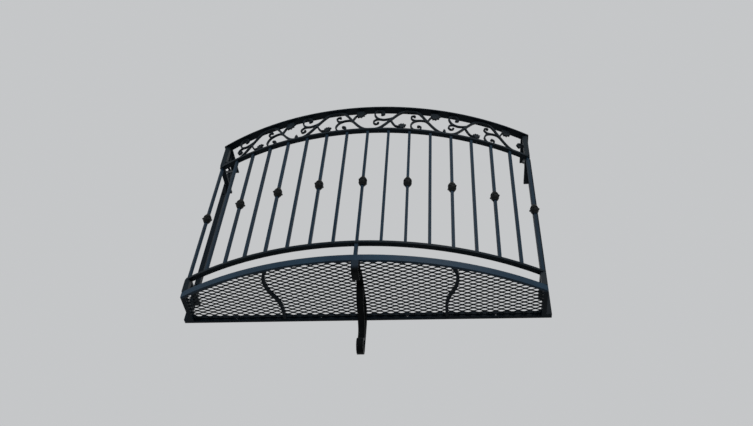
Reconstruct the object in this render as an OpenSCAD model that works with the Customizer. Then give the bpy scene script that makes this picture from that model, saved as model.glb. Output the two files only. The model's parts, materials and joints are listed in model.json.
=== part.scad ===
// Bowed wrought iron juliet balcony: a shallow guard that stands out from a wall
// in front of a full height opening. X runs along the wall, -Y is the street side,
// +Z is up, and the origin is the middle of the floor rail's back face.

/* [Overall] */
// Half of the width, from the middle to a corner of the rail line
half_w = 810; // [400:2:1200]
// Depth of the straight return, from the wall to the corner of the rail line
side_depth = 178; // [120:2:400]
// Depth at the middle of the bow, from the wall to the rail line
centre_depth = 394; // [250:2:700]
// Height of the guard, from the top of the floor frame to the top of the cap rail
guard_h = 1067; // [900:1:1200]

/* [Cap rail] */
// Width of the moulded cap rail
cap_w = 40; // [30:1:60]
// Height of the moulded cap rail
cap_h = 16; // [10:1:30]
// Height of the cap rail's square lip, below its crown
cap_lip = 7; // [4:0.5:9]
// Width of the flat channel bar under the crown's edge
cap_crown_w = 30; // [20:1:36]

/* [Rails] */
// Width of the panel rail and of the bottom rail
rail_w = 25; // [14:1:30]
// Thickness of the panel rail and of the bottom rail
rail_t = 12; // [6:0.5:16]
// Distance from the top of the cap rail down to the middle of the panel rail
panel_drop = 185; // [120:1:260]
// Distance from the top of the floor frame up to the middle of the bottom rail
rail_lift = 79; // [60:1:120]

/* [Pickets] */
// Side of a square picket
picket = 13; // [10:0.5:20]
// Number of equal steps between pickets along the bow
steps = 16; // [8:2:24]
// Height of the knuckles' middle above the top of the floor frame
knuckle_z = 487; // [200:1:800]
// Largest diameter of a knuckle
knuckle_d = 40; // [26:1:50]
// Length of a knuckle along its picket
knuckle_h = 60; // [30:1:80]
// Side of the square plate round the middle of a knuckle
knuckle_plate = 33; // [24:1:40]

/* [Vine scroll] */
// Number of casting lengths along the bow, the cut ones at both ends included
castings = 4.369; // [3.6:0.001:5.4]
// Start of the casting to the right of the middle, along the bow
vine_start = 10; // [-100:1:100]
// Thickness of a casting, through the panel
vine_t = 10; // [5:0.5:18]
// Width of the main stem
stem_w = 11; // [7:0.5:16]
// Width of the curling branches at their root
branch_w = 9; // [6:0.5:14]
// Length and width of a leaf under the cap
leaf = 54; // [30:1:70]

/* [Posts] */
// Side of the square wall posts, the corner feet and the corner uprights
post = 25; // [20:1:40]
// Side of the square bar under the centre picket, from the bottom rail to the band
centre_foot_w = 16; // [12:1:25]
// Diameter of the holes for wall bolts
bolt_d = 11; // [8:0.5:14]
// Height of the lower bolt hole in a wall post
bolt_low_z = 200; // [60:10:400]
// Height of the upper bolt hole in a wall post
bolt_high_z = 860; // [500:10:860]

/* [Floor] */
// Height of the floor frame
band_h = 32; // [25:1:60]
// Width of the floor frame's side bars
frame_w = 20; // [12:1:30]
// Thickness of the bowed front band
band_t = 12; // [6:0.5:16]
// Thickness of the back rail against the wall
back_t = 12; // [8:0.5:20]
// Spacing of the bolt holes in the back rail
back_bolts = 400; // [200:10:520]
// Thickness of the expanded metal
mesh_t = 3; // [2:0.5:5]
// Length of one diamond of the expanded metal, along the wall
mesh_l = 50; // [30:1:80]
// Width of one diamond of the expanded metal, away from the wall
mesh_s = 23; // [14:0.5:40]
// Width of a strand of the expanded metal
strand = 5.5; // [2:0.5:6]
// Distance from the corner line to a curved floor bar, at the wall
bar_in = 436; // [250:2:560]
// How far a curved floor bar swings outwards
bar_swing = 53; // [20:1:90]
// Thickness of a curved floor bar
bar_t = 14; // [10:1:25]
// How far the floor bars and the bracket sit to the right of the middle
floor_shift = 7; // [-20:1:20]

/* [Centre bracket] */
// Width of the bracket's flat bars
bracket_w = 30; // [20:1:60]
// Thickness of the bracket's flat bars
bracket_t = 10; // [6:0.5:16]
// Width of the shoe that carries the front band
shoe_w = 31; // [24:1:60]
// Depth of the shoe below the front band
shoe_drop = 54; // [45:1:80]
// Length of the shoe, in from the band's outer face
shoe_run = 80; // [70:1:110]
// How far the shoe's middle sits to the left of the bracket's
shoe_shift = 4.5; // [0:0.5:8]
// Distance from the posts' wall face out to the face behind the bracket's foot
foot_out = 48; // [30:1:100]
// Depth of the foot's lowest point below the origin
foot_drop = 260; // [200:1:320]
// Radius of the bend between the bracket's arm and its upright
elbow_r = 100; // [60:1:130]
// Outside radius of the curl at the foot
curl_r = 36; // [24:1:45]
// Depth of the upper bolt hole in the foot below the origin
foot_bolt_z = 112; // [105:1:130]
// Spacing of the two bolt holes in the foot
foot_bolts = 35; // [25:1:45]
// Diameter of the foot's bolt holes
foot_bolt_d = 9; // [6:0.5:12]

/* [Hidden] */
$fn = 64;

iron = [0.07, 0.08, 0.10];
sag = centre_depth - side_depth;
bow_r = (half_w * half_w + sag * sag) / (2 * sag);
bow_y = bow_r - centre_depth;
half_a = asin(half_w / bow_r);
floor_top = band_h / 2;
cap_top = floor_top + guard_h;
cap_under = cap_top - cap_h;
panel_z = cap_top - panel_drop;
panel_top = panel_z + rail_t / 2;
panel_under = panel_z - rail_t / 2;
low_z = floor_top + rail_lift;
low_top = low_z + rail_t / 2;
low_under = low_z - rail_t / 2;
outer_x = half_w + rail_w / 2;
inner_x = outer_x - frame_w;
post_x = outer_x + post / 2;
band_out = bow_r + rail_w / 2;
band_in = band_out - band_t;
band_y = bow_y - band_in;
vine_h = cap_under - panel_top;
vine_pitch = bow_r * half_a * PI / 90 / castings;
vx = vine_pitch / 389;
vy = vine_h / 158;
step_a = half_a * 2 / steps;

// Everything beyond the corner's mitre plane, on the wall side, at both ends.
module past_mitre() {
    for (s = [0, 1])
        mirror([s, 0, 0])
            translate([half_w, -side_depth, 0])
                rotate(135 + half_a / 2)
                    translate([-300, -600, -500])
                        cube([600, 600, 2000]);
}

module bow_sweep(r) {
    translate([0, bow_y, 0])
        rotate(-90 - half_a - 2)
            rotate_extrude(angle = 2 * half_a + 4, $fn = 180)
                translate([r, 0])
                    children();
}

module side_sweep() {
    translate([half_w, 0, 0])
        rotate([90, 0, 0])
            linear_extrude(side_depth + 60)
                children();
}

module cap_profile() {
    translate([-cap_w / 2, cap_under])
        square([cap_w, cap_lip]);
    intersection() {
        translate([0, cap_top - cap_crown_w])
            circle(r = cap_crown_w);
        translate([-cap_crown_w / 2, cap_under + cap_lip / 2])
            square([cap_crown_w, cap_h]);
    }
}

module rail_profile(z) {
    translate([-rail_w / 2, z - rail_t / 2])
        square([rail_w, rail_t]);
}

module front_rail(z) {
    difference() {
        bow_sweep(bow_r)
            rail_profile(z);
        past_mitre();
    }
}

module side_rail(z) {
    intersection() {
        side_sweep()
            rail_profile(z);
        past_mitre();
    }
}

module cap_front() {
    color(iron)
        difference() {
            bow_sweep(bow_r)
                cap_profile();
            past_mitre();
        }
}

module cap_side() {
    color(iron)
        intersection() {
            side_sweep()
                cap_profile();
            past_mitre();
        }
}

module panel_rail_front() {
    color(iron)
        front_rail(panel_z);
}

module panel_rail_side() {
    color(iron)
        side_rail(panel_z);
}

module bottom_rail_front() {
    color(iron)
        front_rail(low_z);
}

module bottom_rail_side() {
    color(iron)
        side_rail(low_z);
}

module floor_band() {
    color(iron)
        intersection() {
            bow_sweep(band_in)
                translate([0, -band_h / 2])
                    square([band_t, band_h]);
            translate([-outer_x, -centre_depth - 100, -100])
                cube([2 * outer_x, centre_depth + 100, 200]);
        }
}

module floor_side() {
    color(iron)
        intersection() {
            translate([inner_x, -side_depth - 60, -band_h / 2])
                cube([frame_w, side_depth + 60, band_h]);
            translate([0, bow_y, -100])
                cylinder(r = band_in, h = 200, $fn = 180);
        }
}

module floor_back_rail() {
    color(iron)
        difference() {
            translate([-inner_x, -back_t, -band_h / 2])
                cube([2 * inner_x, back_t, band_h]);
            for (i = [-1.5, -0.5, 0.5, 1.5])
                translate([i * back_bolts, 10, 0])
                    rotate([90, 0, 0])
                        cylinder(d = bolt_d, h = back_t + 20, $fn = 32);
        }
}

module wall_post() {
    color(iron)
        difference() {
            translate([post_x - post / 2, -post, -band_h / 2])
                cube([post, post, cap_under + band_h / 2]);
            for (z = [bolt_low_z, bolt_high_z])
                translate([post_x, 10, z])
                    rotate([90, 0, 0])
                        cylinder(d = bolt_d, h = post + 20, $fn = 32);
        }
}

module corner_foot() {
    color(iron)
        translate([half_w - post / 2, -side_depth - post / 2, floor_top])
            cube([post, post, low_under - floor_top]);
}

module corner_upright() {
    color(iron)
        translate([half_w - post / 2, -side_depth - post / 2, panel_top])
            cube([post, post, vine_h]);
}

// The bar stands on the floor band, in line with the centre picket.
module centre_foot() {
    color(iron)
        translate([-centre_foot_w / 2, -centre_depth - centre_foot_w / 2, floor_top])
            cube([centre_foot_w, centre_foot_w, low_under - floor_top]);
}

module at_picket(i) {
    translate([0, bow_y, 0])
        rotate((i - steps / 2) * step_a)
            translate([0, -bow_r, 0])
                children();
}

module pickets(a, b) {
    color(iron)
        for (i = [a : b])
            at_picket(i)
                translate([-picket / 2, -picket / 2, low_top])
                    cube([picket, picket, panel_under - low_top]);
}

// Two round swells, drawn in at both ends, with a square plate between them.
module knuckle() {
    r = knuckle_d / 2;
    h = knuckle_h / 2;
    e = picket * 0.8;
    difference() {
        union() {
            rotate_extrude($fn = 48)
                polygon([[0, -h], [e, -h], [e + 1.5, -h * 0.86], [r * 0.86, -h * 0.56],
                    [r, -h * 0.3], [r, -h * 0.18], [r * 0.8, -h * 0.06],
                    [r * 0.8, h * 0.06], [r, h * 0.18], [r, h * 0.3],
                    [r * 0.86, h * 0.56], [e + 1.5, h * 0.86], [e, h], [0, h]]);
            cube([knuckle_plate, knuckle_plate, h * 0.22], center = true);
        }
        translate([-picket / 2, -picket / 2, -knuckle_h])
            cube([picket, picket, 2 * knuckle_h]);
    }
}

module knuckles(a, b) {
    color(iron)
        for (i = [a : 2 : b])
            at_picket(i)
                translate([0, 0, floor_top + knuckle_z])
                    knuckle();
}

// A smooth line through the points p, with n steps between two of them.
function bend(a, b, c, d, t) = 0.5 * (2 * b + (c - a) * t
    + (2 * a - 5 * b + 4 * c - d) * t * t
    + (3 * b - a - 3 * c + d) * t * t * t);
function line_of(p, n = 5) = let (m = len(p) - 1)
    [for (i = [0 : m - 1]) for (k = [0 : n - 1])
        bend(p[max(i - 1, 0)], p[i], p[i + 1], p[min(i + 2, m)], k / n),
     p[m]];
function unit2(v) = v / norm(v);
function side_of(p, w0, w1) = let (m = len(p) - 1)
    [for (i = [0 : m])
        let (d = unit2(p[min(i + 1, m)] - p[max(i - 1, 0)]),
             w = w0 + (w1 - w0) * i / m)
        p[i] + [-d[1], d[0]] * w / 2];
function turned(p) = [for (i = [len(p) - 1 : -1 : 0]) p[i]];

// A strand that follows the points p and goes from width w0 to width w1.
module strand2(p, w0, w1, n = 5) {
    q = line_of(p, n);
    polygon(concat(side_of(q, w0, w1), turned(side_of(q, -w0, -w1))));
}

// A strand of the casting, t thick, and the ball or the leaf that ends one.
module twig(p, w0, w1, t, n = 5) {
    linear_extrude(t)
        strand2([for (q = p) [q[0] * vx, q[1] * vy]], w0, w1, n);
}

module ball(p, r, t) {
    translate([p[0] * vx, p[1] * vy, 0])
        cylinder(r = r, h = t, $fn = 24);
}

// An ivy leaf with five points, its stalk at p, sx long and sy wide, turned by a.
module ivy_leaf(p, a, sx, sy, t) {
    translate([p[0] * vx, p[1] * vy, 0])
        rotate(a)
            linear_extrude(t)
                scale([sx / 100, sy / 100])
                    polygon([[0, -7], [12, -22], [6, -42], [28, -38], [42, -50],
                        [54, -32], [76, -34], [74, -16], [100, 0], [78, 14],
                        [82, 34], [58, 32], [44, 50], [30, 36], [8, 40],
                        [14, 20], [0, 7]]);
}

module vine_stem(t) {
    twig([[-4, 4], [25, 5], [50, 16], [75, 42], [105, 80], [130, 112],
        [155, 138], [185, 152], [230, 151], [258, 132], [294, 78],
        [325, 36], [350, 13], [370, 5], [393, 4]], stem_w, stem_w, t, 3);
}

module vine_bud(t) {
    ivy_leaf([380, 4], 86, leaf * 0.63, leaf * 0.32, t);
}

module small_curl(u, t) {
    twig([[u + 44, 80], [u + 20, 82], [u + 4, 72], [u, 56], [u + 11, 43], [u + 24, 49]],
        branch_w * 0.9, branch_w * 0.7, t);
    ball([u + 23, 53], branch_w * 0.67, t);
}

// One casting, flat and t thick, in the stem's own unit length: it rises off the
// panel rail, turns over under the cap and comes down. Its branches curl off both
// crossings.
module vine_unit(t) {
    vine_stem(t);
    twig([[112, 92], [90, 83], [60, 79], [34, 92], [20, 120], [24, 145],
        [44, 155], [64, 145], [70, 126], [59, 118]], branch_w, branch_w * 0.7, t);
    ball([58, 122], branch_w * 0.78, t);
    small_curl(16, t);
    twig([[100, 82], [108, 64], [118, 44], [131, 28], [154, 25]],
        branch_w, branch_w * 0.8, t);
    ivy_leaf([147, 25], 24, leaf * 0.74, leaf * 0.67, t);
    twig([[298, 72], [278, 84], [246, 82], [220, 66], [208, 38], [217, 12],
        [238, 4], [257, 12], [260, 30], [248, 38]], branch_w, branch_w * 0.7, t);
    ball([247, 33], branch_w * 0.78, t);
    twig([[246, 82], [224, 82], [210, 96], [212, 112], [227, 118]],
        branch_w * 0.9, branch_w * 0.7, t);
    ball([227, 113], branch_w * 0.67, t);
    twig([[290, 74], [300, 94], [309, 112], [324, 126]],
        branch_w * 0.9, branch_w * 0.8, t);
    ivy_leaf([311, 125], 12, leaf, leaf, t);
}

// A flat drawing set on the bow as casting k, curved with it, from a to b.
module vine_on_bow(k, a, b) {
    deg = 180 / PI / bow_r;
    u = vine_start + k * vine_pitch;
    color(iron)
        intersection() {
            translate([0, bow_y, panel_top])
                rotate((u + vine_pitch / 2) * deg)
                    rotate([90, 0, 0])
                        translate([-vine_pitch / 2, 0, bow_r - 30])
                            children();
            translate([0, bow_y, panel_top])
                rotate(-90 + (u + a) * deg)
                    rotate_extrude(angle = (b - a) * deg, $fn = 180)
                        translate([bow_r - vine_t / 2, 0])
                            square([vine_t, vine_h]);
            translate([-half_w + post / 2, -centre_depth - 100, panel_top])
                cube([2 * half_w - post, centre_depth + 100, vine_h]);
        }
}

// The castings are made in pairs, with a bud where the stem of the first one ends.
module vine_casting(k, b = 1, bud = false) {
    vine_on_bow(k, 0, b * vine_pitch)
        union() {
            vine_unit(60);
            if (bud)
                vine_bud(60);
        }
}

// What the corners leave of a casting: the foot of a stem on the left, and one
// hooked twig welded to the upright on the right.
module vine_end_left() {
    vine_on_bow(-3, vine_pitch / 2, vine_pitch)
        vine_stem(60);
}

module vine_end_right() {
    vine_on_bow(2, -8, vine_pitch / 3)
        union() {
            twig([[70, 72], [48, 76], [36, 79], [23, 79], [12, 73], [8, 63], [13, 55]],
                branch_w, branch_w * 0.8, 60);
            ball([18, 54], branch_w * 0.85, 60);
        }
}

module vine_side() {
    a = 20;
    color(iron)
        translate([half_w - vine_t / 2, -side_depth + post / 2, panel_top])
            rotate([90, 0, 90])
                translate([-a, 0, 0])
                    intersection() {
                        vine_unit(vine_t);
                        translate([a, 0, 0])
                            cube([side_depth - post / 2 - 6, vine_h, vine_t]);
                    }
}

// Points on an arc about c, from the angle a0 to a1.
function arc(c, r, a0, a1, n = 10) = [for (i = [0 : n])
    let (a = a0 + (a1 - a0) * i / n) c + r * [cos(a), sin(a)]];

// Flat bar w wide, drawn from the side with the wall to the right.
module side_bar(w) {
    translate([floor_shift - w / 2, 0, 0])
        rotate([90, 0, 90])
            linear_extrude(w)
                children();
}

// The outline of the shoe, drawn from the side, in by d from its outer face.
module shoe_outline(d) {
    f = band_y - band_t;
    z = -band_h / 2 - shoe_drop;
    big = 23;
    small = 18;
    front = [f + big, z + big];
    back = [f + shoe_run - small, z + small];
    polygon(concat([[f + d, -d]], arc(front, big - d, 180, 270, 8),
        arc(back, small - d, 270, 360, 8), [[f + shoe_run - d, -d]]));
}

// A scrolled bracket: one bar is the arm under the floor, the upright and the curl
// at the foot. A brace crosses the bend, and a bent shoe carries the band.
module centre_bracket() {
    t = bracket_t;
    y0 = band_y - 2;
    y1 = band_y - band_t + shoe_run - t / 2;
    e = [-foot_out - elbow_r, -elbow_r];
    c = [-foot_out - curl_r, curl_r - foot_drop];
    w = c[0];
    z = -foot_drop;
    color(iron)
        difference() {
            union() {
                side_bar(bracket_w)
                    polygon(concat(
                        [[y1, -t], [y1, 0]],
                        arc(e, elbow_r, 90, 0, 16),
                        arc(c, curl_r, 0, -272, 32),
                        arc(c, curl_r - t, -272, 0, 32),
                        arc(e, elbow_r - t, 0, 90, 16)));
                side_bar(bracket_w)
                    strand2([[y0 + 153, -4], [y0 + 154, -31], [y0 + 171, -58],
                        [y0 + 191, -79], [y0 + 221, -91], [y0 + 252, -102],
                        [w - 34, z + 142], [w - 9, z + 124], [w + 1, z + 100],
                        [w + 1, z + 67]], t, t, 3);
                difference() {
                    translate([-shoe_shift, 0, 0])
                        side_bar(shoe_w)
                            difference() {
                                shoe_outline(0);
                                shoe_outline(t);
                            }
                    translate([-100, band_y - 50, -band_h / 2])
                        cube([200, 50.5, 100]);
                }
            }
            for (d = [0, foot_bolts])
                translate([floor_shift, 10, -foot_bolt_z - d])
                    rotate([90, 0, 0])
                        cylinder(d = foot_bolt_d, h = foot_out + t + 12, $fn = 32);
        }
}

// A curved floor bar, seen from above as an S that turns in again at the band.
module floor_bar(side) {
    run = 195;
    back = 80;
    h = bar_t / 2;
    x0 = half_w - bar_in;
    r = (bar_swing * bar_swing + run * run) / (4 * bar_swing);
    rf = r * 0.63;
    a = asin(run / 2 / r);
    ca = [x0 + r, -back];
    cb = [x0 + bar_swing - r, -back - run];
    cf = [x0 + bar_swing - rf, -back - run];
    color(iron)
        intersection() {
            translate([floor_shift, 0, -bar_t])
                mirror([side < 0 ? 1 : 0, 0, 0])
                    linear_extrude(bar_t)
                        polygon(concat(
                            [[x0 - h, -back_t]],
                            arc(ca, r + h, 180, 180 + a, 12),
                            arc(cb, r - h, a, 0, 12),
                            arc(cf, rf - h, 0, -60, 24),
                            arc(cf, rf + h, -60, 0, 24),
                            arc(cb, r + h, 0, a, 12),
                            arc(ca, r - h, 180 + a, 180, 12),
                            [[x0 + h, -back_t]]));
            translate([0, bow_y, -100])
                cylinder(r = band_in, h = 200, $fn = 180);
        }
}

// Flattened expanded metal from x0 to x1, on top of the bars and inside the frame.
module mesh(x0, x1) {
    edge = 4;
    y0 = band_y - 2;
    ny = ceil(-y0 / mesh_s) + 1;
    color(iron)
        linear_extrude(mesh_t)
            difference() {
                intersection() {
                    translate([0, bow_y])
                        circle(r = band_in, $fn = 180);
                    translate([x0, y0])
                        square([x1 - x0, -y0 - back_t]);
                }
                intersection() {
                    translate([0, bow_y])
                        circle(r = band_in - edge, $fn = 180);
                    translate([x0 + edge / 2, y0])
                        square([x1 - x0 - edge, -y0 - back_t - edge]);
                    for (i = [floor(x0 / mesh_l) : ceil(x1 / mesh_l)])
                        for (j = [0 : ny])
                            for (o = [0, 0.5])
                                translate([(i + o) * mesh_l, -(j + o) * mesh_s])
                                    diamond();
                }
            }
}

module diamond() {
    a = mesh_l / 2 - strand * 1.5;
    b = mesh_s / 2 - strand * 0.8;
    c = a * 0.4;
    polygon([[-a, 0], [-c, -b], [c, -b], [a, 0], [c, b], [-c, b]]);
}

module other_side() {
    mirror([1, 0, 0])
        children();
}

cap_front();
other_side() cap_side();  // cap_left
cap_side();  // cap_right
panel_rail_front();
other_side() panel_rail_side();  // panel_rail_left
panel_rail_side();  // panel_rail_right
bottom_rail_front();
other_side() bottom_rail_side();  // bottom_rail_left
bottom_rail_side();  // bottom_rail_right
floor_band();
other_side() floor_side();  // floor_side_left
floor_side();  // floor_side_right
floor_back_rail();
other_side() wall_post();  // wall_post_left
wall_post();  // wall_post_right
other_side() corner_foot();  // corner_foot_left
corner_foot();  // corner_foot_right
centre_foot();
other_side() corner_upright();  // corner_upright_left
corner_upright();  // corner_upright_right
pickets(0, steps / 4 - 1);  // pickets_left
pickets(steps / 4, steps / 2 - 1);  // pickets_mid_left
pickets(steps / 2, steps / 2);  // picket_centre
pickets(steps / 2 + 1, steps * 3 / 4);  // pickets_mid_right
pickets(steps * 3 / 4 + 1, steps);  // pickets_right
knuckles(0, steps / 2 - 4);  // knuckles_left
knuckles(steps / 2 - 2, steps / 2 + 2);  // knuckles_mid
knuckles(steps / 2 + 4, steps);  // knuckles_right
vine_casting(-2, 1, true);  // vine_casting_1
vine_casting(-1);  // vine_casting_2
vine_casting(0, 1, true);  // vine_casting_3
vine_casting(1, 0.95);  // vine_casting_4
vine_end_left();
vine_end_right();
other_side() vine_side();  // vine_side_left
vine_side();  // vine_side_right
centre_bracket();
floor_bar(-1);  // floor_bar_left
floor_bar(1);  // floor_bar_right
mesh(-inner_x, -half_w / 2);  // mesh_left
mesh(-half_w / 2, 0);  // mesh_mid_left
mesh(0, half_w / 2);  // mesh_mid_right
mesh(half_w / 2, inner_x);  // mesh_right
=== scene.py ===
import json
import math

import bpy
from mathutils import Matrix, Vector


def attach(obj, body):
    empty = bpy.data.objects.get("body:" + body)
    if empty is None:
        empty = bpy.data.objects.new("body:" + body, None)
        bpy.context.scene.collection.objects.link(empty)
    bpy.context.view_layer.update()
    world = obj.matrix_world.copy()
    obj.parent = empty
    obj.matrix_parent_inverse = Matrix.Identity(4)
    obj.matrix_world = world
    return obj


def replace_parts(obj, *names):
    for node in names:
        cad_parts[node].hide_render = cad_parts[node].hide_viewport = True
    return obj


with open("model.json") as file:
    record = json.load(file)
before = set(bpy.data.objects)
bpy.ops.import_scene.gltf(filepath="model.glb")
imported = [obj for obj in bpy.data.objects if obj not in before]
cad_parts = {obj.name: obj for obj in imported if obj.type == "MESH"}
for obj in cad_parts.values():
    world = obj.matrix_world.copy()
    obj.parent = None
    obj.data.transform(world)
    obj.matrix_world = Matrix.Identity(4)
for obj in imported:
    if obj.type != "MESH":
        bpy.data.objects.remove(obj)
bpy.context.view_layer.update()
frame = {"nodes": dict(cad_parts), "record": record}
nodes = frame["nodes"]

# camera: seen from the street below, a little to the right of the middle
IMAGE_W = 753
FOCAL_PX = 777.6
SENSOR_W = 36.0
CLIP_NEAR, CLIP_FAR = 0.05, 100
CAMERA_AT = Vector((0.4326, -2.7921, -2.2583))
YAW = math.radians(8.433)
PITCH = math.radians(46.355)
ROLL = math.radians(-4.470)


def camera_axes():
    """The camera's right, down and forward axes, as the rows of a matrix."""
    base = Matrix(((1, 0, 0), (0, 0, -1), (0, 1, 0)))
    turn = Matrix(((math.cos(YAW), math.sin(YAW), 0),
                   (-math.sin(YAW), math.cos(YAW), 0), (0, 0, 1)))
    tip = Matrix(((1, 0, 0), (0, math.cos(PITCH), math.sin(PITCH)),
                  (0, -math.sin(PITCH), math.cos(PITCH))))
    lean = Matrix(((math.cos(ROLL), math.sin(ROLL), 0),
                   (-math.sin(ROLL), math.cos(ROLL), 0), (0, 0, 1)))
    return lean @ tip @ base @ turn


def make_camera():
    data = bpy.data.cameras.new("camera")
    data.sensor_width = SENSOR_W
    data.sensor_fit = "HORIZONTAL"
    data.lens = FOCAL_PX / IMAGE_W * data.sensor_width
    data.clip_start, data.clip_end = CLIP_NEAR, CLIP_FAR
    cam = bpy.data.objects.new("camera", data)
    bpy.context.scene.collection.objects.link(cam)
    right, down, forward = camera_axes()
    place = Matrix((right, -down, -forward)).transposed().to_4x4()
    place.translation = CAMERA_AT
    cam.matrix_world = place
    bpy.context.scene.camera = cam


make_camera()

# the colour sockets of a Mix node
MIX_A, MIX_B, MIX_OUT = 6, 7, 2


class Net:
    """Adds and links the nodes of one shader tree."""

    def __init__(self, tree):
        self.tree = tree
        tree.nodes.clear()

    def add(self, kind, sockets=None, **settings):
        """Adds a node with its settings and the values of its input sockets."""
        node = self.tree.nodes.new(kind)
        for key, value in settings.items():
            setattr(node, key, value)
        for key, value in (sockets or {}).items():
            node.inputs[key].default_value = value
        return node

    def link(self, a, b):
        self.tree.links.new(a, b)

    def feed(self, value, socket):
        """Sets a socket to a plain value, or links an output to it."""
        if isinstance(value, (int, float, tuple)):
            socket.default_value = value
        else:
            self.link(value, socket)

    def noise(self, where, scale, detail, rough):
        n = self.add("ShaderNodeTexNoise",
                     {"Scale": scale, "Detail": detail, "Roughness": rough})
        self.link(where, n.inputs["Vector"])
        return n.outputs["Fac"]

    def band(self, value, low, high, out_low=0.0, out_high=1.0):
        """Maps low to out_low and high to out_high, and holds them beyond."""
        n = self.add("ShaderNodeMapRange", {"From Min": low, "From Max": high,
                                            "To Min": out_low, "To Max": out_high})
        self.link(value, n.inputs["Value"])
        return n.outputs["Result"]

    def math(self, how, a, b):
        n = self.add("ShaderNodeMath", operation=how)
        self.feed(a, n.inputs[0])
        self.feed(b, n.inputs[1])
        return n.outputs[0]

    def mix(self, fac, a, b):
        n = self.add("ShaderNodeMix", data_type="RGBA")
        self.link(fac, n.inputs[0])
        self.feed(a, n.inputs[MIX_A])
        self.feed(b, n.inputs[MIX_B])
        return n.outputs[MIX_OUT]

    def bump(self, height, strength, distance, normal):
        n = self.add("ShaderNodeBump", {"Strength": strength, "Distance": distance})
        self.link(height, n.inputs["Height"])
        self.link(normal, n.inputs["Normal"])
        return n.outputs[0]


def rgb(r, g, b):
    return (r, g, b, 1.0)


# each noise of the paint as scale, detail and roughness, a lump's without scale
PATCHES, SPECKS = (6.0, 5.0, 0.6), (90.0, 3.0, 0.6)
DUST_NOISE, WEAR_NOISE, RUST_NOISE = (14.0, 6.0, 0.65), (38.0, 5.0, 0.7), (70.0, 6.0, 0.7)
LUMP_NOISE, GRAIN_NOISE = (3.0, 0.5), (420.0, 2.0, 0.5)
SEED_STEP = (1.7, 0.9, 2.3)
# where each look starts and where it is full, on its noise or on how a face lies
CHALK_BAND, UP_BAND, DUST_BAND = (0.5, 0.95), (0.3, 0.95), (0.35, 0.75, 0.25, 1.0)
EDGE_BAND, WEAR_BAND, RUST_BAND = (0.97, 0.80), (0.50, 0.68), (0.66, 0.74)
SPECK_SHARE, RUST_SHARE = 0.35, 0.25
# where painted light lies on the outward face of the bracket's shoe, in y and in z
PAINTED_SHOE_LIGHT_Y, PAINTED_SHOE_LIGHT_Z = (-0.400, -0.405), (-0.068, -0.044)
# in metres, how far an edge is rounded and how high the lumps and the grain are
EDGE_REACH, LUMP_HEIGHT, GRAIN_HEIGHT = 0.0022, 0.0015, 0.0004
EDGE_SAMPLES, GRAIN_DEPTH, IRON_IOR = 4, 0.12, 1.5
# how rough the paint is over its patches, and what dust and wear add
ROUGH_BAND, ROUGH_DUST, ROUGH_WORN = (0.3, 0.7, 0.36, 0.50), 0.45, 0.3
DUST_COLOUR = rgb(0.16, 0.155, 0.145)
BARE_COLOUR = rgb(0.085, 0.083, 0.085)
RUST_COLOUR = rgb(0.11, 0.045, 0.018)


def paint_light_on_shoe(net, where, colour, shoe_light):
    """Turns the colour to a paler one on the outward face of the bracket's shoe: painted
    light, where the sky lights that face.
    """
    place = net.add("ShaderNodeSeparateXYZ")
    net.link(where, place.inputs[0])
    front = net.math("MULTIPLY", net.band(place.outputs["Y"], *PAINTED_SHOE_LIGHT_Y),
                     net.band(place.outputs["Z"], *PAINTED_SHOE_LIGHT_Z))
    return net.mix(front, colour, shoe_light)


def settled_dust(net, where, normal, dust):
    """How much dust lies on a face: none but where it looks up."""
    facing = net.add("ShaderNodeSeparateXYZ")
    net.link(normal, facing.inputs[0])
    settled = net.math("MULTIPLY", net.band(facing.outputs["Z"], *UP_BAND),
                       net.band(net.noise(where, *DUST_NOISE), *DUST_BAND))
    return net.math("MULTIPLY", settled, dust)


def edge_wear(net, where, normal, rounded, wear):
    """How worn and how rusty the paint is. Both show at the edges alone."""
    dot = net.add("ShaderNodeVectorMath", operation="DOT_PRODUCT")
    net.link(rounded, dot.inputs[0])
    net.link(normal, dot.inputs[1])
    edge = net.band(dot.outputs["Value"], *EDGE_BAND)
    worn = net.math("MULTIPLY", edge,
                    net.band(net.noise(where, *WEAR_NOISE), *WEAR_BAND))
    spots = net.band(net.noise(where, *RUST_NOISE), *RUST_BAND)
    rusty = net.math("MULTIPLY", spots, edge)
    return net.math("MULTIPLY", worn, wear), net.math("MULTIPLY", rusty, RUST_SHARE)


def brushed_skin(net, where, rounded, lump, lump_depth):
    """The lumps and the fine grain of the paint, as a normal."""
    lumps = net.bump(net.noise(where, lump, *LUMP_NOISE), lump_depth, LUMP_HEIGHT,
                     rounded)
    return net.bump(net.noise(where, *GRAIN_NOISE), GRAIN_DEPTH, GRAIN_HEIGHT, lumps)


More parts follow.
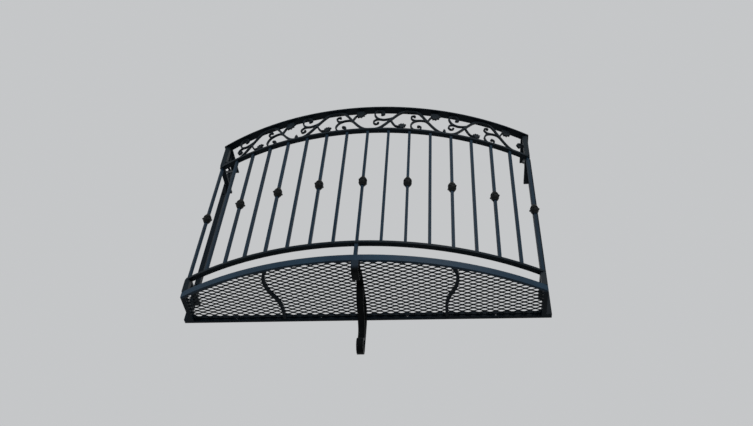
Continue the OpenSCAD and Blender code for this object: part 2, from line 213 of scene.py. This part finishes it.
def painted_iron(name, seed, paint, shine=0.14, lump=55.0, lump_depth=0.25,
                 wear=0.3, dust=0.3, shoe_light=None):
    """Satin paint on wrought or cast iron: brush lumps, chalky patches, dust on
    the upper faces, worn edges and a little rust in the worn spots."""
    base, chalky = paint
    mat = bpy.data.materials.new(name)
    mat.use_nodes = True
    net = Net(mat.node_tree)
    out = net.add("ShaderNodeOutputMaterial")
    bsdf = net.add("ShaderNodeBsdfPrincipled",
                   {"Metallic": 0.0, "IOR": IRON_IOR, "Specular IOR Level": shine})
    net.link(bsdf.outputs[0], out.inputs[0])

    coord = net.add("ShaderNodeTexCoord").outputs["Object"]
    shift = net.add("ShaderNodeMapping",
                    {"Location": tuple(seed * step for step in SEED_STEP)})
    net.link(coord, shift.inputs["Vector"])
    where = shift.outputs[0]
    normal = net.add("ShaderNodeNewGeometry").outputs["True Normal"]
    bevel = net.add("ShaderNodeBevel", {"Radius": EDGE_REACH}, samples=EDGE_SAMPLES)
    rounded = bevel.outputs[0]

    patches = net.noise(where, *PATCHES)
    specks = net.math("MULTIPLY", net.noise(where, *SPECKS), SPECK_SHARE)
    chalk = net.band(net.math("ADD", patches, specks), *CHALK_BAND)
    colour = net.mix(chalk, base, chalky)
    # painted light: a paler colour on the outward face of the bracket's shoe
    if shoe_light:
        colour = paint_light_on_shoe(net, coord, colour, shoe_light)
    settled = settled_dust(net, where, normal, dust)
    worn, rusty = edge_wear(net, where, normal, rounded, wear)
    colour = net.mix(settled, colour, DUST_COLOUR)
    colour = net.mix(worn, colour, BARE_COLOUR)
    colour = net.mix(rusty, colour, RUST_COLOUR)
    net.link(colour, bsdf.inputs["Base Color"])

    rough = net.band(patches, *ROUGH_BAND)
    rough = net.math("ADD", rough, net.math("MULTIPLY", settled, ROUGH_DUST))
    rough = net.math("ADD", rough, net.math("MULTIPLY", worn, ROUGH_WORN))
    net.link(rough, bsdf.inputs["Roughness"])
    net.link(brushed_skin(net, where, rounded, lump, lump_depth),
             bsdf.inputs["Normal"])
    mat.diffuse_color = base
    return mat


# each paint as its plain and its chalky colour
BLACK = rgb(0.0042, 0.0085, 0.0120), rgb(0.0085, 0.0155, 0.0215)
# a lighter, bluer copy of the black paint: painted sky reflection on the pickets' faces
# to the street
SKY_LIT_NAVY = rgb(0.0060, 0.0180, 0.0310), rgb(0.0110, 0.0300, 0.0500)
# a lighter, bluer copy still: painted sky reflection on the floor frame's bowed band
SKY_LIT_SLATE = rgb(0.0095, 0.0270, 0.0470), rgb(0.0165, 0.0430, 0.0710)
POST_BLACK = rgb(0.0050, 0.0098, 0.0130), rgb(0.0095, 0.0165, 0.0215)
CAST_BLACK = rgb(0.0035, 0.0044, 0.0042), rgb(0.0080, 0.0090, 0.0086)
# a darker copy of the black paint without its blue: painted shade under the floor
SHADED_BRACKET_BLACK = rgb(0.0042, 0.0046, 0.0048), rgb(0.0085, 0.0090, 0.0092)
# a darker copy of the blue-black paint: painted shade
PAINTED_SHADE = rgb(0.0022, 0.0060, 0.0100), rgb(0.0045, 0.0110, 0.0180)
# painted light: the paler colour of the bracket's shoe where the sky lights its outward
# face
PAINTED_SHOE_LIGHT = rgb(0.0170, 0.0250, 0.0350)
finish_of = {
    "cap": painted_iron("cap_paint", 1, BLACK, shine=0.08, dust=0.4),
    "rails": painted_iron("rail_paint", 2, BLACK, shine=0.08),
    # the floor frame's paint holds painted sky reflection
    "floor_frame": painted_iron("floor_frame_sky_lit_paint", 3, SKY_LIT_SLATE, shine=0.12),
    "posts": painted_iron("post_paint", 4, POST_BLACK, shine=0.10),
    # the pickets' paint holds painted sky reflection
    "pickets": painted_iron("picket_sky_lit_paint", 5, SKY_LIT_NAVY, shine=0.10, lump=45.0),
    "knuckles": painted_iron("knuckle_paint", 6, CAST_BLACK, shine=0.09,
                             lump=140.0, lump_depth=0.5, wear=0.35),
    "vine": painted_iron("vine_paint", 7, BLACK, shine=0.12,
                         lump=120.0, lump_depth=0.5, wear=0.35),
    # the bracket's paint holds painted shade, and painted light on the outward face of
    # its shoe
    "bracket": painted_iron("bracket_shaded_and_lit_paint", 8, SHADED_BRACKET_BLACK, shine=0.05,
                            wear=0.08, shoe_light=PAINTED_SHOE_LIGHT),
    "expanded_metal": painted_iron("mesh_paint", 9, BLACK, lump=160.0, dust=0.5),
}
# painted shade: the wall posts and the floor's side rails, back rail and bars take the
# darker copy of the paint, for the shade they lie in
painted_shade = painted_iron("painted_shade_paint", 10, PAINTED_SHADE, shine=0.07)
finish_at = {name: painted_shade for name in (
    "wall_post_left", "wall_post_right", "floor_side_left", "floor_side_right",
    "floor_back_rail", "floor_bar_left", "floor_bar_right")}
# the centre foot takes the pickets' paint, with its painted sky reflection
finish_at["centre_foot"] = finish_of["pickets"]

for sub in frame["record"]["subparts"]:
    piece = nodes[sub["node"]]
    piece.data.materials.clear()
    piece.data.materials.append(finish_at.get(sub["node"],
                                              finish_of[sub["material_slot"]]))


# the object's sizes, in metres, as in the part's source
HALF_W, SIDE_DEPTH, CENTRE_DEPTH = 0.810, 0.178, 0.394
HALF_POST, HALF_RAIL, HALF_FOOT, HALF_PICKET = 0.0125, 0.0125, 0.008, 0.0065
BAND_T = 0.012
# heights of the rails' faces, and of the knuckles' middle over the floor
FLOOR_TOP, CAP_UNDER, KNUCKLE_Z = 0.016, 1.067, 0.487
PANEL_UNDER, PANEL_TOP = 0.892, 0.904
LOW_UNDER, LOW_TOP = 0.089, 0.101
# the bow's radius and middle, and the inner face of the floor's bowed band
SAG = CENTRE_DEPTH - SIDE_DEPTH
BOW_R = (HALF_W ** 2 + SAG ** 2) / (2 * SAG)
BOW_Y = BOW_R - CENTRE_DEPTH
HALF_ARC = math.asin(HALF_W / BOW_R)
BAND_IN = -CENTRE_DEPTH - HALF_RAIL + BAND_T
# steps between the pickets and castings on the bow, and where castings start
STEPS, CASTINGS, START = 16, 4.369, 0.010
# a casting's thickness and length, and the scale of its drawing
THICK = 0.010
LENGTH = 2 * BOW_R * HALF_ARC / CASTINGS
DRAWN_W, DRAWN_H = 389, 158
ALONG = LENGTH / DRAWN_W
UPWARD = (CAP_UNDER - PANEL_TOP) / DRAWN_H

# The drawing's strokes as points (along, up), branches with their width at the
# root and at the tip, balls as centre and radius, and leaves as root, angle,
# length and width. The veins are drawn on a leaf of length and width VEIN_LEAF.
STEM = [(-4, 4), (25, 5), (50, 16), (75, 42), (105, 80), (130, 112), (155, 138),
        (185, 152), (230, 151), (258, 132), (294, 78), (325, 36), (350, 13),
        (370, 5), (393, 4)]
BRANCHES = [
    ([(112, 92), (90, 83), (60, 79), (34, 92), (20, 120), (24, 145), (44, 155),
      (64, 145), (70, 126), (59, 118)], 9, 6),
    ([(60, 80), (36, 82), (20, 72), (16, 56), (27, 43), (40, 49)], 8, 6),
    ([(100, 82), (108, 64), (118, 44), (131, 28), (154, 25)], 9, 7),
    ([(298, 72), (278, 84), (246, 82), (220, 66), (208, 38), (217, 12), (238, 4),
      (257, 12), (260, 30), (248, 38)], 9, 6),
    ([(246, 82), (224, 82), (210, 96), (212, 112), (227, 118)], 8, 6),
    ([(290, 74), (300, 94), (309, 112), (324, 126)], 8, 7)]
BALLS = [((58, 122), 7), ((39, 53), 6), ((247, 33), 7), ((227, 113), 6)]
LEAVES = [((147, 25), 24, 40, 36), ((311, 125), 12, 54, 54)]
BUD = ((380, 4), 86, 34, 17)
VEINS = [((4, 0), (94, 0)), ((30, 0), (42, -44)), ((30, 0), (43, 44)),
         ((52, 0), (76, -28)), ((52, 0), (80, 29)), ((14, 0), (9, -34)),
         ((14, 0), (10, 34))]
VEIN_LEAF, VEIN_STEPS = 100, 6
# the curl that is left of the cut casting at the right corner
HOOK = [(70, 72), (48, 76), (36, 79), (23, 79), (12, 73), (8, 63), (13, 55)]
HOOK_BALL = (18, 54), 7.0

# the relief's widths on the drawing at the root and the tip, and how much
# narrower than a branch and smaller than a ball it is
STEM_W, VEIN_W, HOOK_W = (8.5, 8.5), (3.4, 1.4), (7, 5.5)
BRANCH_IN, BALL_IN = (2, 1.5), 0.6
# its heights in metres, and how deep it is sunk into the casting
STEM_RISE, BRANCH_RISE, BALL_RISE, VEIN_RISE = 0.0024, 0.0020, 0.0028, 0.0012
HOOK_BALL_RISE, SUNK = 0.0030, 0.0002
# where the drawing is cut, and how far the returns' castings are moved back
LAST_CUT = DRAWN_W * 0.95
LEFT_CUT, RIGHT_CUT = 323, (-8, 46.5)
SIDE_CUT, SIDE_SHIFT = (20.6, 179), 0.020


def smooth_line(points, n=5):
    """A smooth line through the points, with n steps between two of them."""
    last = len(points) - 1
    line = []
    for i in range(last):
        a, b = points[max(i - 1, 0)], points[i]
        c, d = points[i + 1], points[min(i + 2, last)]
        for k in range(n):
            t = k / n
            line.append(tuple(0.5 * (2 * q + (r - p) * t
                                     + (2 * p - 5 * q + 4 * r - w) * t * t
                                     + (3 * q - p - 3 * r + w) * t ** 3)
                              for p, q, r, w in zip(a, b, c, d)))
    line.append(tuple(points[-1]))
    return line


def bow_place(k):
    """Maps a casting's flat drawing to its place on the bow."""
    turn = (START + k * LENGTH + LENGTH / 2) / BOW_R

    def place(x, h, out):
        along = x * ALONG - LENGTH / 2
        r = BOW_R + out
        rho = math.sqrt(r * r - along * along)
        return (along * math.cos(turn) + rho * math.sin(turn),
                along * math.sin(turn) - rho * math.cos(turn) + BOW_Y,
                PANEL_TOP + h * UPWARD)
    return place


def side_place(side):
    """Maps a casting's flat drawing to the return on one side."""
    def place(x, h, out):
        return (side * (HALF_W + out),
                x * ALONG - SIDE_DEPTH + HALF_POST - SIDE_SHIFT,
                PANEL_TOP + h * UPWARD)
    return place


class Shape:
    """Collects the faces of one mesh."""

    def __init__(self):
        self.verts, self.faces = [], []

    def grid(self, rows, closed=False):
        """Faces between rows of points, closed where a row is a ring."""
        start, n = len(self.verts), len(rows[0])
        for row in rows:
            self.verts.extend(row)
        for i in range(len(rows) - 1):
            for j in range(n if closed else n - 1):
                a, b = start + i * n + j, start + i * n + (j + 1) % n
                self.faces.append((a, b, b + n, a + n))

    def bar(self, rows):
        """A bar with closed ends through rows of four corners."""
        start = len(self.verts)
        self.grid(rows, closed=True)
        end = len(self.verts)
        self.faces.append((start + 3, start + 2, start + 1, start))
        self.faces.append((end - 4, end - 3, end - 2, end - 1))

    def piece(self, name, slot, smooth=True):
        """Makes the mesh a piece of the object and returns it."""
        mesh = bpy.data.meshes.new(name)
        mesh.from_pydata(self.verts, [], self.faces)
        mesh.validate()
        mesh.polygons.foreach_set("use_smooth", [smooth] * len(mesh.polygons))
        mesh.materials.append(finish_of[slot])
        obj = bpy.data.objects.new(name, mesh)
        bpy.context.scene.collection.objects.link(obj)
        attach(obj, "root")
        return obj


def ridge(shape, place, line, w0, w1, height, low, high, across=6):
    """A half round ridge on both faces of a casting, along a line of its drawing
    between low and high, from width w0 to width w1."""
    rows = {1: [], -1: []}
    last = len(line) - 1
    for i, p in enumerate(line + [None]):
        if p is None or not low <= p[0] <= high:
            for side in (1, -1):
                if len(rows[side]) > 1:
                    shape.grid(rows[side])
                rows[side] = []
            continue
        a, b = line[max(i - 1, 0)], line[min(i + 1, last)]
        d = math.hypot(b[0] - a[0], b[1] - a[1])
        nx, ny = -(b[1] - a[1]) / d, (b[0] - a[0]) / d
        w = (w0 + (w1 - w0) * i / last) / 2
        for side in (1, -1):
            row = []
            for k in range(across + 1):
                t = math.pi * k / across
                out = THICK / 2 + height * math.sin(t) - SUNK
                row.append(place(p[0] + nx * w * math.cos(t),
                                 p[1] + ny * w * math.cos(t), side * out))
            rows[side].append(row if side > 0 else row[::-1])


def dome(shape, place, at, r, height, rings=5, around=20):
    """A dome on both faces of a casting, in the middle of a curl."""
    for side in (1, -1):
        rows = []
        for i in range(rings + 1):
            t = math.pi / 2 * i / rings
            rows.append([place(at[0] + r * math.cos(t) * math.cos(a),
                               at[1] + r * math.cos(t) * math.sin(a),
                               side * (THICK / 2 + height * math.sin(t) - SUNK))
                         for a in [math.tau * j / around * side
                                   for j in range(around)]])
        shape.grid(rows, closed=True)


def leaf_veins(shape, place, leaf, low, high):
    """The veins of one leaf, on both faces of a casting."""
    (x, h), turn, long, wide = leaf
    c, s = math.cos(math.radians(turn)), math.sin(math.radians(turn))
    for start, end in VEINS:
        line = []
        for i in range(VEIN_STEPS + 1):
            u = (start[0] + (end[0] - start[0]) * i / VEIN_STEPS) * long / VEIN_LEAF
            v = (start[1] + (end[1] - start[1]) * i / VEIN_STEPS) * wide / VEIN_LEAF
            line.append((x + u * c - v * s, h + u * s + v * c))
        ridge(shape, place, line, *VEIN_W, VEIN_RISE, low, high, across=4)


def vine_relief(name, place, low, high, bud=False, stem_only=False):
    """The raised work of one casting, from low to high on its drawing."""
    shape = Shape()
    ridge(shape, place, smooth_line(STEM, 4), *STEM_W, STEM_RISE, low, high)
    if not stem_only:
        for points, w0, w1 in BRANCHES:
            ridge(shape, place, smooth_line(points), w0 - BRANCH_IN[0],
                  w1 - BRANCH_IN[1], BRANCH_RISE, low, high)
        for at, r in BALLS:
            if low + r < at[0] < high - r:
                dome(shape, place, at, r - BALL_IN, BALL_RISE)
        for leaf in LEAVES:
            leaf_veins(shape, place, leaf, low, high)
    if bud:
        leaf_veins(shape, place, BUD, low, high)
    shape.piece(name, "vine")


vine_relief("vine_relief_1", bow_place(-2), 0, DRAWN_W, bud=True)
vine_relief("vine_relief_2", bow_place(-1), 0, DRAWN_W)
vine_relief("vine_relief_3", bow_place(0), 0, DRAWN_W, bud=True)
vine_relief("vine_relief_4", bow_place(1), 0, LAST_CUT)
vine_relief("vine_relief_end_left", bow_place(-3), LEFT_CUT, DRAWN_W, stem_only=True)
vine_relief("vine_relief_side_left", side_place(-1), *SIDE_CUT)
vine_relief("vine_relief_side_right", side_place(1), *SIDE_CUT)
hook = Shape()
ridge(hook, bow_place(2), smooth_line(HOOK), *HOOK_W, BRANCH_RISE, *RIGHT_CUT)
dome(hook, bow_place(2), *HOOK_BALL, HOOK_BALL_RISE)
hook.piece("vine_relief_end_right", "vine")

# Welds, in metres. The weld round a bar is rings of (outwards, along the bar),
# and no corner of a ring is farther out than WELD_CORNER times its side.
WELD_RINGS = ((0.0030, -0.0003), (0.0026, 0.0010), (0.0014, 0.0022),
              (-0.0004, 0.0034))
WELD_POINTS, WELD_CORNER = 28, 1.26
WELD_LUMP_OUT, WELD_LUMP_UP = 0.0005, 0.0003
# A bead's radius by its place, the length and least number of its steps, and the
# points round it. BEAD_END is the share of the radius that is left at its ends.
# Its waves and lumps add the other shares, and a wave turns by WAVE_TURN a step.
WIDE_BEAD, BEAD, THIN_BEAD = 0.0024, 0.0022, 0.0020
BEAD_STEP, BEAD_LEAST, BEAD_POINTS = 0.0022, 6, 8
BEAD_END, BEAD_WAVE, BEAD_LUMP, WAVE_TURN = 0.2, 0.18, 0.08, 1.9
# how far a weld's seed, a point on it and a kind of lump turn its two sines
SEED_TURN, POINT_TURN, KIND_TURN = (12.9, 3.7), (2.3, 0.9), 4.1
# half the length of a seam at a corner, and from and to where in y at a wall post
HALF_SEAM, WALL_SEAM = 0.011, (-0.024, -0.002)
# the bracket's welds as x from and to, y from the band's inner face, and z
BRACKET_SEAMS = ((-0.012, 0.017, -0.002, -FLOOR_TOP),
                 (-0.007, 0.021, 0.156, -0.0105),
                 (-0.007, 0.017, 0.068, -0.0105))


def lumpy(seed, i, j):
    """An uneven value from -1 to 1, the same on each run. The seed is a number of
    the weld's own, so that the welds don't all have the same lumps."""
    return (math.sin(seed * SEED_TURN[0] + i * POINT_TURN[0] + j * KIND_TURN)
            * math.sin(seed * SEED_TURN[1] + i * POINT_TURN[1]))


def bar_weld(shape, at, turn, z, up, seed, half=HALF_PICKET):
    """A fillet of weld all round a square bar where it meets a rail."""
    rows = []
    for grow, rise in WELD_RINGS:
        row = []
        for j in range(WELD_POINTS):
            a = math.tau * j / WELD_POINTS
            k = min(1 / max(abs(math.cos(a)), abs(math.sin(a))), WELD_CORNER)
            r = (half + grow + WELD_LUMP_OUT * lumpy(seed, j, 0)) * k
            x, y = r * math.cos(a), r * math.sin(a)
            rz = z + up * (rise + WELD_LUMP_UP * lumpy(seed, j, 2) * (rise > 0))
            row.append((at[0] + x * math.cos(turn) - y * math.sin(turn),
                        at[1] + x * math.sin(turn) + y * math.cos(turn), rz))
        rows.append(row if up > 0 else row[::-1])
    shape.grid(rows, closed=True)


def seam(shape, a, b, r, seed):
    """A lumpy bead of weld from a to b, half sunk into the joint."""
    a, b = Vector(a), Vector(b)
    along = (b - a).normalized()
    side = along.orthogonal().normalized()
    up = along.cross(side)
    n = max(BEAD_LEAST, int((b - a).length / BEAD_STEP))
    rows = []
    for i in range(n + 1):
        swell = r * (1 + BEAD_WAVE * math.sin(i * WAVE_TURN + seed)
                     + BEAD_LUMP * lumpy(seed, i, 1))
        if i in (0, n):
            swell = r * BEAD_END
        c = a.lerp(b, i / n)
        rows.append([tuple(c + swell * (side * math.cos(t) + up * math.sin(t)))
                     for t in [math.tau * j / BEAD_POINTS
                               for j in range(BEAD_POINTS)]])
    shape.grid(rows, closed=True)


def picket_turn(i):
    """How far picket i is turned about the middle of the bow."""
    return (i - STEPS / 2) * HALF_ARC * 2 / STEPS


def on_bow(turn, r):
    """The point (x, y) at a turn and a distance from the middle of the bow."""
    return r * math.sin(turn), BOW_Y - r * math.cos(turn)


def picket_welds():
    """The welds of the pickets on the bottom rail and under the panel rail."""
    shape = Shape()
    for i in range(STEPS + 1):
        turn = picket_turn(i)
        spot = on_bow(turn, BOW_R)
        bar_weld(shape, spot, turn, LOW_TOP, 1, i + 1)
        bar_weld(shape, spot, turn, PANEL_UNDER, -1, i + 31)
    shape.piece("picket_welds", "rails")


def foot_welds(shape):
    """The centre foot's welds, to the bottom rail and to the bowed band."""
    front, half = -CENTRE_DEPTH - HALF_FOOT, HALF_FOOT
    bar_weld(shape, (0, -CENTRE_DEPTH), 0, LOW_UNDER, -1, 71, half)
    seam(shape, (-half, front, FLOOR_TOP), (half, front, FLOOR_TOP), WIDE_BEAD, 2)
    for s in (-1, 1):
        seam(shape, (s * half, front, FLOOR_TOP), (s * half, BAND_IN, FLOOR_TOP),
             BEAD, 3 + s)


def side_welds(shape, s):
    """The welds of the corner on one side, and of its rails at the wall post."""
    corner = s * HALF_W
    inner = s * (HALF_W - HALF_POST)
    outer = s * (HALF_W + HALF_RAIL)
    for z in (FLOOR_TOP, LOW_UNDER, PANEL_TOP, CAP_UNDER):
        seam(shape, (inner, -SIDE_DEPTH - HALF_SEAM, z),
             (inner, -SIDE_DEPTH + HALF_SEAM, z), BEAD, 5 + s + z)
        seam(shape, (corner - HALF_SEAM, -SIDE_DEPTH + HALF_POST, z),
             (corner + HALF_SEAM, -SIDE_DEPTH + HALF_POST, z), BEAD, 6 + s + z)
    for z in (0.0, LOW_UNDER, LOW_TOP, PANEL_UNDER, PANEL_TOP):
        seam(shape, (outer, WALL_SEAM[0], z), (outer, WALL_SEAM[1], z),
             THIN_BEAD, 7 + s + z)


def frame_welds():
    """The welds of the centre foot, the two sides and the bracket."""
    shape = Shape()
    foot_welds(shape)
    for s in (-1, 1):
        side_welds(shape, s)
    for x0, x1, in_y, z in BRACKET_SEAMS:
        y = BAND_IN + in_y
        seam(shape, (x0, y, z), (x1, y, z), WIDE_BEAD, 9 + y)
    shape.piece("frame_welds", "posts")


# a knuckle's plate as rows of height from the knuckle's middle and half width
PLATE_ROWS = ((-0.0060, 0.0150), (-0.0044, 0.0179), (0.0018, 0.0179),
              (0.0034, 0.0150))


def knuckle_plates():
    """The square plate round the middle of each knuckle, its edge drawn out."""
    shape = Shape()
    for i in range(0, STEPS + 1, 2):
        turn = picket_turn(i)
        rows = []
        for z, half in PLATE_ROWS:
            ring = []
            for a, b in ((-1, -1), (1, -1), (1, 1), (-1, 1)):
                x, y = on_bow(turn, BOW_R - b * half)
                ring.append((x + a * half * math.cos(turn),
                             y + a * half * math.sin(turn),
                             FLOOR_TOP + KNUCKLE_Z + z))
            rows.append(ring)
        shape.bar(rows)
    shape.piece("knuckle_plates", "knuckles", smooth=False)


picket_welds()
knuckle_plates()
frame_welds()

# The expanded metal as one sheet: zigzag strands that lean towards the street
# and meet at the bonds, in a thin edge that is welded to the frame.
MESH_L, MESH_S, MESH_T = 0.050, 0.023, 0.003
# a strand's width, half the length of a bond at its near and far edge, and its
# thickness and lean
STRAND_W, TIP, FLAT = 0.0048, 0.0070, 0.0045
STRAND_T, LEAN = 0.0014, 0.0008
# the width of the sheet's edge, and the radius, half width and back of the sheet
EDGE, SIDE_EDGE = 0.004, 0.002
MESH_R, MESH_X, MESH_BACK = BOW_R + 0.0005, 0.8025, -0.012
ARC_STEPS, HALVINGS = 96, 12


def strand_at(k, x):
    """The near and the far edge, (y, z) each, of strand k at x."""
    phase = 0.0 if k % 2 == 0 else MESH_L / 2
    t = abs((x - phase + MESH_L / 2) % MESH_L - MESH_L / 2)
    run = MESH_L / 2 - TIP - FLAT
    near = min(max((t - TIP) / run, 0), 1)
    far = min(max((t - FLAT) / run, 0), 1)
    y = -(k + 1) * MESH_S / 2
    rise = MESH_S / 2 - STRAND_W
    return ((y + near * rise, MESH_T / 2 + near * LEAN),
            (y + STRAND_W + far * rise, MESH_T / 2 - LEAN + far * LEAN))


def inside(k, x):
    """Whether the middle of strand k at x is inside the bowed band."""
    near, far = strand_at(k, x)
    return math.hypot(x, (near[0] + far[0]) / 2 - BOW_Y) < MESH_R


def cut_at(k, a, b):
    """The last x of strand k inside the band, between a and b on its two sides."""
    within, beyond = (a, b) if inside(k, a) else (b, a)
    for _ in range(HALVINGS):
        half = (within + beyond) / 2
        if inside(k, half):
            within = half
        else:
            beyond = half
    return within


def add_strand(shape, k):
    """Strand k from side to side, cut where it reaches the bowed band."""
    last = int(MESH_X / MESH_L) + 1
    xs = {-MESH_X, MESH_X}
    for i in range(-2 * last, 2 * last + 1):
        for step in (-TIP, -FLAT, FLAT, TIP):
            if abs(i * MESH_L / 2 + step) < MESH_X:
                xs.add(i * MESH_L / 2 + step)
    xs = sorted(xs)
    line = [xs[0]]
    for a, b in zip(xs, xs[1:]):
        if inside(k, a) != inside(k, b):
            line.append(cut_at(k, a, b))
        line.append(b)
    rows = []
    for x in line + [None]:
        if x is not None and inside(k, x):
            (y0, z0), (y1, z1) = strand_at(k, x)
            half = STRAND_T / 2
            rows.append([(x, y0, z0 - half), (x, y1, z1 - half),
                         (x, y1, z1 + half), (x, y0, z0 + half)])
            continue
        if len(rows) > 1:
            shape.bar(rows)
        rows = []


def add_edge(shape):
    """The edge of the sheet along the bowed band, at the wall and at the sides."""
    arc = math.asin(MESH_X / MESH_R)
    rows = []
    for i in range(ARC_STEPS + 1):
        a = arc * (i / (ARC_STEPS / 2) - 1)
        rows.append([(*on_bow(a, r), z)
                     for r, z in ((MESH_R, 0), (MESH_R - EDGE, 0),
                                  (MESH_R - EDGE, MESH_T), (MESH_R, MESH_T))])
    shape.bar(rows)
    front = MESH_BACK - EDGE
    shape.bar([[(x, front, 0), (x, MESH_BACK, 0),
                (x, MESH_BACK, MESH_T), (x, front, MESH_T)]
               for x in (-MESH_X, MESH_X)])
    corner = BOW_Y - MESH_R * math.cos(arc)
    for s in (-1, 1):
        x0, x1 = sorted((s * MESH_X, s * (MESH_X - SIDE_EDGE)))
        shape.bar([[(x0, y, 0), (x0, y, MESH_T), (x1, y, MESH_T), (x1, y, 0)]
                   for y in (corner, MESH_BACK)])


sheet = Shape()
for k in range(1, int(-BAND_IN / MESH_S * 2) + 1):
    add_strand(sheet, k)
add_edge(sheet)
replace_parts(sheet.piece("expanded_floor", "expanded_metal", smooth=False),
            "mesh_left", "mesh_mid_left", "mesh_mid_right", "mesh_right")

# stage: the floor's grain, and its colours as seen and as it lights the object
STAGE_SIZE, STAGE_Z, STAGE_SHIFT = 6.0, -3.86, -2
STAGE_GRAIN, STAGE_BAND, STAGE_ROUGH = (3.0, 6.0, 0.6), (0.3, 0.7), 0.9
STAGE_LOW, STAGE_HIGH = rgb(0.56, 0.47, 0.42), rgb(0.60, 0.51, 0.46)
STAGE_DULL = rgb(0.12, 0.12, 0.12)
# the backdrop, and the soft light from below and from above
BACKDROP = rgb(0.56, 0.57, 0.58)
LIGHT_LOW, LIGHT_HIGH = rgb(0.05, 0.05, 0.05), rgb(0.72, 0.88, 1.0)
LIGHT_STRENGTH, LIGHT_BAND = 1.15, (-0.20, 0.45)
# lamps as name, place, aim, size, power and colour
LAMPS = (("key", (2.0, -4.6, 3.0), (0, 0, 0.5), 3.0, 110.0, (0.97, 0.98, 1.0)),
         ("fill", (-3.2, -3.8, 1.4), (0, 0, 0.4), 3.0, 30.0, (0.90, 0.95, 1.0)))


def make_floor():
    """A plain floor far below, which lights the object as a dull grey one."""
    near, far = -STAGE_SIZE + STAGE_SHIFT, STAGE_SIZE + STAGE_SHIFT
    mesh = bpy.data.meshes.new("stage_floor")
    mesh.from_pydata([(-STAGE_SIZE, near, STAGE_Z), (STAGE_SIZE, near, STAGE_Z),
                      (STAGE_SIZE, far, STAGE_Z), (-STAGE_SIZE, far, STAGE_Z)],
                     [], [(0, 1, 2, 3)])
    floor = bpy.data.objects.new("stage_floor", mesh)
    bpy.context.scene.collection.objects.link(floor)
    mat = bpy.data.materials.new("stage_floor")
    mat.use_nodes = True
    net = Net(mat.node_tree)
    out = net.add("ShaderNodeOutputMaterial")
    bsdf = net.add("ShaderNodeBsdfPrincipled", {"Roughness": STAGE_ROUGH})
    coord = net.add("ShaderNodeTexCoord")
    grain = net.noise(coord.outputs["Object"], *STAGE_GRAIN)
    pale = net.mix(net.band(grain, *STAGE_BAND), STAGE_LOW, STAGE_HIGH)
    path = net.add("ShaderNodeLightPath")
    net.link(net.mix(path.outputs["Is Diffuse Ray"], pale, STAGE_DULL),
             bsdf.inputs["Base Color"])
    net.link(bsdf.outputs[0], out.inputs[0])
    mesh.materials.append(mat)


def make_world():
    """A plain backdrop for the camera and for shine, and a soft light."""
    world = bpy.data.worlds.new("studio")
    bpy.context.scene.world = world
    world.use_nodes = True
    net = Net(world.node_tree)
    out = net.add("ShaderNodeOutputWorld")
    plain = net.add("ShaderNodeBackground", {"Color": BACKDROP, "Strength": 1.0})
    soft = net.add("ShaderNodeBackground", {"Strength": LIGHT_STRENGTH})
    coord = net.add("ShaderNodeTexCoord")
    split = net.add("ShaderNodeSeparateXYZ")
    net.link(coord.outputs["Generated"], split.inputs[0])
    high = net.band(split.outputs["Z"], *LIGHT_BAND)
    net.link(net.mix(high, LIGHT_LOW, LIGHT_HIGH), soft.inputs["Color"])
    path = net.add("ShaderNodeLightPath")
    seen = net.math("MAXIMUM", path.outputs["Is Camera Ray"],
                    net.math("MAXIMUM", path.outputs["Is Glossy Ray"],
                             path.outputs["Is Transmission Ray"]))
    pick = net.add("ShaderNodeMixShader")
    net.link(seen, pick.inputs[0])
    net.link(soft.outputs[0], pick.inputs[1])
    net.link(plain.outputs[0], pick.inputs[2])
    net.link(pick.outputs[0], out.inputs[0])


def area_light(name, at, towards, size, power, colour):
    data = bpy.data.lights.new(name, "AREA")
    data.size = size
    data.energy = power
    data.color = colour
    lamp = bpy.data.objects.new(name, data)
    bpy.context.scene.collection.objects.link(lamp)
    lamp.location = at
    lamp.rotation_mode = "QUATERNION"
    lamp.rotation_quaternion = (Vector(towards) - Vector(at)).to_track_quat("-Z", "Y")


make_floor()
make_world()
for lamp in LAMPS:
    area_light(*lamp)
bpy.context.scene.view_settings.view_transform = "Standard"
